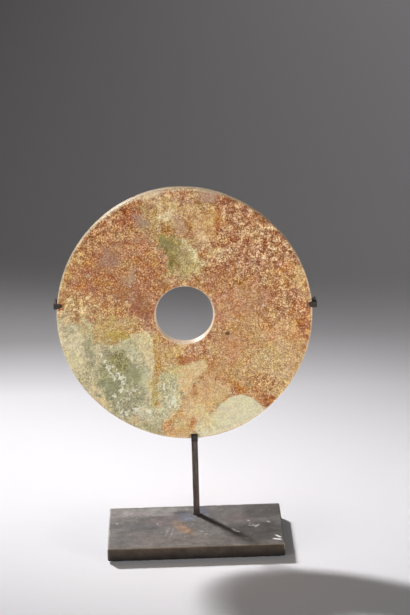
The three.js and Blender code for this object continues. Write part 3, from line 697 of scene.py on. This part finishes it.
# hand filing: the faces wander by hundredths, the edges are dented and worn round
place = points_of(block)
x, y, z = place.T
edge_x = block_half[0] - np.abs(x - block_middle[0])
edge_y = block_half[1] - np.abs(y - block_middle[1])
edge_z = block_half[2] - np.abs(z - block_middle[2])
second_nearest = np.sort(np.stack([edge_x, edge_y, edge_z]), axis=0)[1]  # 0 along an edge
edge = 1 - smooth(second_nearest, 0.15, 1.6)
dents = smooth(clouds(place, 5, 81, 3), 0.25, 0.6)
pull = edge * (EDGE_WEAR + DENT_DEPTH * dents) + FILING_DEPTH * (1 + clouds(place, 13, 82, 3))
facing = np.stack([edge_x < 1.2, edge_y < 1.2, edge_z < 0.6], 1)
place = place + np.sign(block_middle - place) * facing * pull[:, None]
move_to(block, place)

# The top's tones, each laid over the ones before: an oval about the block's middle,
# the width of its border, and the colour. Besides real mottle and stains they hold
# painted light: lighter at the back left as a painted sheen of the lamp, darker on
# the right as painted shade.
TOP_MOTTLE_SHEEN_AND_SHADE = [
    ((-34, 29, 22, 9, 0), 8, "#968f8a"), ((-17, 33, 14, 5, 0), 5, "#9d978f"),
    ((-36, 0, 15, 8, 0), 7, "#666361"), ((-29, 16, 8, 4, 0), 5, "#69625b"),
    ((-45, -24, 9, 9, 0), 7, "#706b67"), ((-19, 11, 9, 10, 0), 7, "#796c6a"),
    ((-12, -27, 26, 11, 0), 8, "#7b726c"), ((17, 18, 15, 13, 0), 8, "#75716c"),
    ((26, 13, 8, 9, 0), 6, "#776a66"), ((44, 26, 14, 14, 0), 9, "#5b5652"),
    ((40, -14, 20, 18, 0), 12, "#514c48"), ((26, -30, 12, 6, 0), 6, "#6b645f"),
    ((-9, 27, 5, 5, 0), 4, "#5f595d"), ((-5, 16, 5, 8, 0), 5, "#70727e"),
    ((5.5, 29, 4, 8, 0), 4, "#6c6e78"), ((-8, -4.5, 4.5, 13, 23), 4, "#98806b"),
    ((-6, -8, 3, 5, 23), 3, "#a5866c"),
]
# Marks on the top, from (x, y) to (x, y), with width and strength.
CHIPS = [(50.2, -24.2, 52.4, -28.0, 1.7, 1.0), (48.8, -30.9, 52.0, -32.2, 2.2, 1.0)]
SCRATCHES = [
    (33.6, 7.3, 34.6, 1.0, 1.4, 0.7), (34.6, -2.6, 38.4, -4.4, 2.2, 0.7),
    (37.6, -6.4, 40.0, -2.0, 1.4, 0.6), (36.0, -4.0, 37.2, 2.0, 1.0, 0.4),
    (22.9, -8.6, 24.4, -11.0, 1.8, 0.8), (24.4, -13.6, 26.6, -14.6, 2.0, 0.7),
    (45.6, 3.4, 46.8, 2.6, 2.0, 0.6), (0.8, -12.0, 6.6, -12.6, 2.2, 0.35),
    (0.8, -16.8, 6.6, -17.4, 2.2, 0.35), (8.8, -19.9, 13.4, -12.5, 1.3, 0.35),
    (-24.2, 6.4, -23.4, 3.6, 1.4, 0.5), (-39.2, 20.6, -38.0, 19.4, 2.2, 0.5),
    (-48.6, -23.4, -47.4, -25.0, 2.0, 0.35), (-16.5, -4.0, -19.0, -17.0, 1.0, 0.3),
    (-14.0, -6.0, -16.0, -20.0, 0.9, 0.25), (29.0, -27.0, 31.5, -28.5, 2.2, 0.35),
    (-52.0, 10.0, -50.0, 8.0, 2.4, 0.35), (-52.0, -8.0, -50.0, -9.0, 2.4, 0.3),
]
on_top = edge_z < 0.6
top_x = x - block_middle[0] + 1.5 * clouds(place, 6, 86, 3)
top_y = y - block_middle[1] + 3 * clouds(place, 6, 87, 3)
top_tone_sheen_and_shade = np.tile(paint("#77716c"), (len(place), 1))
for oval, border, hue in TOP_MOTTLE_SHEEN_AND_SHADE:
    cover = smooth(oval_reach(top_x, top_y, oval), -border / 2, border / 2)
    top_tone_sheen_and_shade += (paint(hue) - top_tone_sheen_and_shade) * cover[:, None]
store(block, "top_tone_sheen_and_shade", top_tone_sheen_and_shade)
mark_x, mark_y = x - block_middle[0], y - block_middle[1]
store(block, "chipped", strokes(mark_x, mark_y, CHIPS) * on_top)
broken = smooth(clouds(place, 1.6, 88, 2), -0.35, 0.45)
store(block, "scratched", strokes(mark_x, mark_y, SCRATCHES) * on_top * broken)
# paler edges: worn metal all round, plus a painted highlight along the front top edge
front_top_highlight = smooth(-mark_y, block_half[1] - 2, block_half[1] - 1) * (z > block_middle[2])
store(block, "edge", edge * (0.25 + 0.75 * front_top_highlight) * (0.75 + 0.3 * clouds(place, 7, 83, 3)))
store(block, "rubbed", smooth(z, block_high[2] - 0.8, block_high[2] - 0.3))

# Blackened mild steel: brown-black in the recesses and on the sides, rubbed to a
# satin grey on top, with rust and blue heat tint near the post and bright chips.
block_steel, tree, shader, in_mm = new_material("blackened_mild_steel")
rubbed = add(tree, "Attribute", attribute_name="rubbed").outputs["Fac"]
mottle = add(tree, "TexNoise", {"Vector": in_mm, "Scale": 0.12, "Detail": 6.0, "Roughness": 0.7})
grit = add(tree, "TexNoise", {"Vector": in_mm, "Scale": 0.45, "Detail": 4.0, "Roughness": 0.75})
swirl = 1.0
for centre, spread in (((-32, -6, 0), 1.0), ((18, -24, 0), 0.8), ((8, 16, 0), 1.2)):
    away = add(tree, "VectorMath", {0: in_mm, 1: centre}, operation="DISTANCE").outputs["Value"]
    rings = add(tree, "TexNoise", {"W": away, "Scale": spread, "Detail": 4.0, "Roughness": 0.8},
                noise_dimensions="1D").outputs[0]
    swirl = add(tree, "Math", {0: swirl, 1: rings}, operation="MULTIPLY").outputs[0]
swirl = add(tree, "MapRange", {"Value": swirl, "From Min": 0.06, "From Max": 0.22}).outputs[0]
worn = add(tree, "MapRange", {"Value": mottle.outputs[0], "From Min": 0.32, "From Max": 0.68,
                              "To Min": 0.62, "To Max": 1.42}).outputs[0]
# the top's stored tone carries a painted sheen on the left and painted shade on the right
top_tone_sheen_and_shade = add(tree, "Attribute", attribute_name="top_tone_sheen_and_shade").outputs["Color"]
top_tone_sheen_and_shade = add(tree, "VectorMath", {0: top_tone_sheen_and_shade, "Scale": worn}, operation="SCALE").outputs[0]
top_tone_sheen_and_shade = blend(tree, add(tree, "Math", {0: swirl, 1: 0.4}, operation="MULTIPLY").outputs[0],
                 top_tone_sheen_and_shade, rgba("#4f4a48"))
grit_dark = add(tree, "MapRange", {"Value": grit.outputs[0], "From Min": 0.46, "From Max": 0.32,
                                   "To Max": 0.7}).outputs[0]
top_tone_sheen_and_shade = blend(tree, grit_dark, top_tone_sheen_and_shade, rgba("#4a4442"))
grit_light = add(tree, "MapRange", {"Value": grit.outputs[0], "From Min": 0.58, "From Max": 0.7,
                                    "To Max": 0.6}).outputs[0]
top_tone_sheen_and_shade = blend(tree, grit_light, top_tone_sheen_and_shade, rgba("#aaa49d"))
scratch_share = add(tree, "Attribute", attribute_name="scratched").outputs["Fac"]
top_tone_sheen_and_shade = blend(tree, scratch_share, top_tone_sheen_and_shade, rgba("#dcd9d5"))
# the sides are darker towards the bottom and browner towards the top
side_height = add(tree, "SeparateXYZ", {0: in_mm}).outputs["Z"]
side_height = add(tree, "MapRange", {"Value": side_height, "From Min": 2.0, "From Max": 9.0}).outputs[0]
side_tone = blend(tree, side_height, rgba("#292422"), rgba("#53473c"))
side_tone = add(tree, "VectorMath", {0: side_tone, "Scale": worn}, operation="SCALE").outputs[0]
tone = blend(tree, rubbed, side_tone, top_tone_sheen_and_shade)
# paler edges: wear, with a painted highlight along the front top edge
edge_wear_and_highlight = add(tree, "Attribute", attribute_name="edge").outputs["Fac"]
edge_wear_and_highlight = add(tree, "MapRange", {"Value": edge_wear_and_highlight, "From Min": 0.35, "From Max": 0.9,
                                    "To Max": 0.75}).outputs[0]
tone = blend(tree, edge_wear_and_highlight, tone, rgba("#a39480"))
chip_share = add(tree, "Attribute", attribute_name="chipped").outputs["Fac"]
tone = blend(tree, chip_share, tone, rgba("#f2f0ee"))
tree.links.new(tone, shader.inputs["Base Color"])
dull = add(tree, "MapRange", {"Value": grit.outputs[0], "From Min": 0.3, "From Max": 0.7,
                              "To Min": 0.42, "To Max": 0.6}).outputs[0]
tree.links.new(dull, shader.inputs["Roughness"])
scale_bump = add(tree, "Bump", {"Height": grit.outputs[0], "Strength": 0.3,
                                "Distance": 0.1 * MM}).outputs[0]
tree.links.new(scale_bump, shader.inputs["Normal"])
shader.inputs["Metallic"].default_value = 0.65

block.data.materials.append(block_steel)
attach(block, "root")
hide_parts("steel_block")


# ---- The felt ----
# A thin sheet of black felt glued under the block, set back from its edges.

felt_low, felt_high = (np.array(end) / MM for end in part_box("felt_pad"))
felt_high[2] = block_low[2] - 0.02
felt_x = np.linspace(felt_low[0], felt_high[0], 60)
felt_middle = (felt_low + felt_high) / 2
fringe = 0.25 * (1 + np.random.default_rng(6).uniform(-1, 1, len(felt_x)))
felt = bar(
    "felt_sheet",
    np.stack([felt_x, felt_low[1] + fringe, felt_middle[2] + 0 * felt_x], 1),
    np.stack([felt_x, felt_high[1] - fringe, felt_middle[2] + 0 * felt_x], 1),
    (0, 0, 1), (felt_high[2] - felt_low[2]) / 2, 0.25, 40, 2,
)
# Black wool felt: matt, with a faint pale halo of loose fibres.
wool, tree, shader, in_mm = new_material("black_wool_felt")
fibres = add(tree, "TexNoise", {"Vector": in_mm, "Scale": 3.0, "Detail": 3.0, "Roughness": 0.7})
tone = blend(tree, fibres.outputs[0], rgba("#0f0e0e"), rgba("#2c2a2a"))
tree.links.new(tone, shader.inputs["Base Color"])
shader.inputs["Roughness"].default_value = 1.0
shader.inputs["Sheen Weight"].default_value = 0.15
felt.data.materials.append(wool)
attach(felt, "root")
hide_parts("felt_pad")


# ---- The post ----
# A square steel rod brazed upright on the block, behind the disc. Its faces keep
# the brown scale of the mill; the brazing left a dark crust round its foot.

CRUST_THICK, CRUST_HEIGHT = 0.2, 2.4
post_low, post_high = (np.array(end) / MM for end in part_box("steel_post"))
post_middle = (post_low + post_high) / 2
post_half = (post_high - post_low) / 2
foot_z = block_high[2] - 0.05
post_z = np.concatenate([
    [foot_z], np.arange(foot_z + 0.3, post_high[2] - 0.4, 0.6), [post_high[2] - 0.3, post_high[2]],
])
end_cut = np.where(np.arange(len(post_z)) == len(post_z) - 1, 0.3, 0)
half_side = post_half[0] - end_cut
post = bar(
    "square_post",
    np.stack([post_middle[0] - half_side, post_middle[1] + 0 * post_z, post_z], 1),
    np.stack([post_middle[0] + half_side, post_middle[1] + 0 * post_z, post_z], 1),
    (0, 1, 0), post_half[1] - end_cut, 0.4, 6, 3,
)
place = points_of(post)
away = place - post_middle
outward = np.sign(away) * (np.abs(away) > 1) * [1, 1, 0]
crust = CRUST_THICK * (1 - smooth(place[:, 2], foot_z, foot_z + CRUST_HEIGHT)) ** 2
crust = crust * (1 + 0.5 * clouds(place, 1.5, 91, 2))
swelling = crust - FILING_DEPTH * (1 + clouds(place, 4, 92, 3))
place = place + outward * swelling[:, None]
place[:, 1] = np.clip(place[:, 1], None, block_high[1])
move_to(post, place)
store(post, "crust", 1 - smooth(place[:, 2], foot_z + 1, foot_z + 7))

# Mill-scaled square bar: warm brown-grey, streaked lengthways, darker where the
# torch reached it.
bar_steel, tree, shader, in_mm = new_material("mill_scaled_bar_steel")
streak_place = add(tree, "Mapping", {"Vector": in_mm, "Scale": (1.0, 1.0, 0.12)}).outputs[0]
streaks = add(tree, "TexNoise", {"Vector": streak_place, "Scale": 0.8, "Detail": 4.0,
                                 "Roughness": 0.65})
flakes = add(tree, "TexNoise", {"Vector": in_mm, "Scale": 0.9, "Detail": 4.0, "Roughness": 0.7})
streak_share = add(tree, "MapRange", {"Value": streaks.outputs[0], "From Min": 0.35,
                                      "From Max": 0.65}).outputs[0]
tone = blend(tree, streak_share, rgba("#463c36"), rgba("#73665f"))
flake_share = add(tree, "MapRange", {"Value": flakes.outputs[0], "From Min": 0.44,
                                     "From Max": 0.3, "To Max": 0.8}).outputs[0]
tone = blend(tree, flake_share, tone, rgba("#2b241f"))
burnt = add(tree, "Attribute", attribute_name="crust").outputs["Fac"]
burnt = add(tree, "Math", {0: burnt, 1: 0.7}, operation="MULTIPLY").outputs[0]
tone = blend(tree, burnt, tone, rgba("#26211e"))
tree.links.new(tone, shader.inputs["Base Color"])
dull = add(tree, "MapRange", {"Value": flakes.outputs[0], "From Min": 0.3, "From Max": 0.7,
                              "To Min": 0.45, "To Max": 0.65}).outputs[0]
tree.links.new(dull, shader.inputs["Roughness"])
scale_bump = add(tree, "Bump", {"Height": flakes.outputs[0], "Strength": 0.4,
                                "Distance": 0.1 * MM}).outputs[0]
tree.links.new(scale_bump, shader.inputs["Normal"])
shader.inputs["Metallic"].default_value = 0.6

post.data.materials.append(bar_steel)
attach(post, "root")
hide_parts("steel_post")


# ---- The foot claw ----
# A short strip bent to an angle and brazed to the post. The disc stands on its
# seat, and its finger turns up over the disc's lower edge, filed to a blunt tip.

SEAT_THICK = 1.5
FINGER_THICK = 1.7
STRIP_ROUNDING = 0.3
HAND_WANDER = 0.05


def fill_in(stations, steps):
    """The stations with evenly spaced ones between them, steps from each to the next."""
    stations = np.array(stations, float)
    filled = [stations[:1]]
    for before, after, count in zip(stations[:-1], stations[1:], steps):
        share = (np.arange(1, count + 1) / count)[:, None]
        filled.append(before + (after - before) * share)
    return np.concatenate(filled)


def hand_filed(place, cell, seed):
    """Points that have each wandered a little in all three directions."""
    return place + HAND_WANDER * np.stack([clouds(place, cell, seed + k, 2) for k in range(3)], 1)


claw_low, claw_high = (np.array(end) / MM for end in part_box("foot_claw"))
claw_middle_x = (claw_low[0] + claw_high[0]) / 2
claw_half = (claw_high[0] - claw_low[0]) / 2
under_z, tip_z = claw_low[2], claw_high[2]  # the strip's underside and its highest point
seat_top = under_z + SEAT_THICK
seat_back = post_low[1] + 0.1
finger_front = claw_low[1]
finger_back = finger_front + FINGER_THICK
# each station's y and z on the inner side of the strip, then on the outer
claw_run = fill_in([
    (seat_back, seat_top, seat_back, under_z),
    (finger_back + 0.9, seat_top, finger_back + 0.4, under_z),
    (finger_back + 0.15, seat_top + 0.1, finger_front + 0.35, under_z + 0.35),
    (finger_back, seat_top + 0.6, finger_front, under_z + 1.1),
    (finger_back, tip_z - 0.5, finger_front, tip_z - 1.3),
    (finger_back - 0.25, tip_z, finger_front + 0.95, tip_z),
], [10, 4, 4, 8, 5])
in_x = np.full(len(claw_run), claw_middle_x)
foot_claw = bar(
    "foot_claw_strip", np.column_stack([in_x, claw_run[:, :2]]),
    np.column_stack([in_x, claw_run[:, 2:]]), (1, 0, 0), claw_half, STRIP_ROUNDING, 4, 4,
)
place = hand_filed(points_of(foot_claw), 1.6, 101)
place = np.clip(place, claw_low, claw_high + [0, 0.4, 0])
move_to(foot_claw, place)
store(foot_claw, "crust", np.full(len(place), 0.9))
foot_claw.data.materials.append(bar_steel)
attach(foot_claw, "root")
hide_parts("foot_claw")


# ---- The two arms ----
# Flat bars that taper from the post out to the disc's edge, pass forward round it
# and fold in over the face: the only parts of them that show from the front are
# the two small tabs.

ARM_THICK = 3.2
ARM_ROOT_HEIGHT = 5
ARM_ROOT_Z = 97
CLAW_HEIGHT = 3.6
TAB_THICK = 1.7
# each arm's node, side, thickness of its bend, reach over the face and taper of the tab
for node, side, strap, reach, taper in (
    ("left_arm", -1, 1.6, 3.3, 1.3), ("right_arm", 1, 2.5, 1.9, 0.4),
):
    arm_low, arm_high = (np.array(end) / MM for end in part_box(node))
    outer_x = arm_high[0] if side > 0 else arm_low[0]
    inner_x = outer_x - side * strap
    edge_x = inner_x - side * 0.3
    tip_x = edge_x - side * reach
    root_x = post_middle[0] + side * (post_half[0] - 0.1)
    claw_z = arm_high[2] - CLAW_HEIGHT / 2
    front_y, back_y = arm_high[1] - ARM_THICK, arm_high[1]
    tab_front, tab_back = arm_low[1], arm_low[1] + TAB_THICK
    knuckle = 0.7
    bend_x = inner_x - side * 2
    along_arm = 1 - 2 / abs(inner_x - root_x)
    bend_z = ARM_ROOT_Z + (claw_z - ARM_ROOT_Z) * along_arm
    bend_half = (ARM_ROOT_HEIGHT + (CLAW_HEIGHT - ARM_ROOT_HEIGHT) * along_arm) / 2
    claw_half = CLAW_HEIGHT / 2
    # x and y on the inner side, x and y on the outer side, middle height, half height
    run = fill_in([
        (root_x, front_y, root_x, back_y, ARM_ROOT_Z, ARM_ROOT_HEIGHT / 2),
        (bend_x, front_y, bend_x, back_y, bend_z, bend_half),
        (inner_x, front_y, outer_x - side * knuckle, back_y, claw_z, claw_half),
        (inner_x, front_y - 0.3, outer_x, back_y - knuckle, claw_z, claw_half),
        (inner_x, tab_back + 0.3, outer_x, tab_front + knuckle, claw_z, claw_half),
        (inner_x, tab_back, outer_x - side * knuckle, tab_front, claw_z, claw_half),
        (edge_x, tab_back, edge_x, tab_front, claw_z, claw_half),
        (tip_x, tab_back, tip_x, tab_front + 0.25, claw_z, claw_half - taper),
    ], [110, 4, 3, 16, 3, 3, 6])
    arm = bar(
        node + "_bar", run[:, [0, 1, 4]], run[:, [2, 3, 4]], (0, 0, 1), run[:, 5],
        STRIP_ROUNDING, 5, 3,
    )
    if side < 0:
        arm.data.flip_normals()
    place = hand_filed(points_of(arm), 2.0, 110 + side * 5)
    into_post = np.array([0.5, 0, 0])
    place = np.clip(place, arm_low - into_post * (side > 0), arm_high + into_post * (side < 0))
    move_to(arm, place)
    store(arm, "crust", np.full(len(place), 0.8))
    arm.data.materials.append(bar_steel)
    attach(arm, "root")
    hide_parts(node)


# ---- Floor, light and background ----
# A pale paper sheet under a pool of light that falls from behind on the left; a
# weak, low light from the front fills the shadows.

half = 15  # half the side of the floor, in metres
floor_mesh = bpy.data.meshes.new("floor")
floor_mesh.from_pydata(
    [(-half, -half, 0), (half, -half, 0), (half, half, 0), (-half, half, 0)], [], [(0, 1, 2, 3)],
)
floor = bpy.data.objects.new("floor", floor_mesh)
bpy.context.collection.objects.link(floor)
# Matt paper, painted a little lighter on the near left and much greyer far back on the left: painted
# light that deepens the falloff at the edge of the lamps' pool.
paper, tree, shader, in_mm = new_material("matt_paper")
floor_place = add(tree, "SeparateXYZ", {0: in_mm})
rightward = add(tree, "MapRange", {"Value": floor_place.outputs["X"],
                                   "From Min": -400, "From Max": 400}).outputs[0]
backward = add(tree, "MapRange", {"Value": floor_place.outputs["Y"],
                                  "From Min": 357, "From Max": 528}).outputs[0]
near_tone_painted_pool = blend(tree, rightward, rgba("#efeef1"), rgba("#e5e3e7"))
far_tone_painted_falloff = blend(tree, rightward, rgba("#979496"), rgba("#e7e4e7"))
tone = blend(tree, backward, near_tone_painted_pool, far_tone_painted_falloff)
tree.links.new(tone, shader.inputs["Base Color"])
shader.inputs["Roughness"].default_value = 0.9
shader.inputs["Specular IOR Level"].default_value = 0.2
floor.data.materials.append(paper)


def add_light(name, kind, place, target, energy, colour, **settings):
    """A lamp at a place, turned towards a target."""
    lamp = bpy.data.lights.new(name, kind)
    lamp.energy = energy
    lamp.color = colour
    for key, value in settings.items():
        setattr(lamp, key, value)
    holder = bpy.data.objects.new(name, lamp)
    direction = Vector(target) - Vector(place)
    turn = direction.to_track_quat("-Z", "Y").to_matrix().to_4x4()
    holder.matrix_world = Matrix.Translation(place) @ turn
    bpy.context.collection.objects.link(holder)


# Two soft spot lamps share one place: name, target, power, cone in degrees and the
# cone's softness.
KEY_PLACE = (-1.63, 2.79, 2.14)
KEY_COLOUR = (1, 0.99, 1)
KEY_SIZE = 0.28
for name, target, energy, cone, softness in (
    ("key_pool", (0.35, -0.04, 0), 910, 8.0, 0.6),
    ("key_hot_spot", (-0.166, 0.169, 0), 1425, 8.7, 0.9),
):
    add_light(name, "SPOT", KEY_PLACE, target, energy, KEY_COLOUR,
              spot_size=math.radians(cone), spot_blend=softness, shadow_soft_size=KEY_SIZE)
FILL_COLOUR = (1, 0.985, 0.96)
for side in (-1, 1):
    add_light(f"front_{side}", "SUN", (side * 1.1, -1.1, 0.23), (0, 0, 0), 1.62, FILL_COLOUR,
              angle=math.radians(14))
world = bpy.data.worlds.new("studio")
world.use_nodes = True
world.node_tree.nodes["Background"].inputs[0].default_value = (0.93, 0.94, 1, 1)
world.node_tree.nodes["Background"].inputs[1].default_value = 0.05
bpy.context.scene.world = world
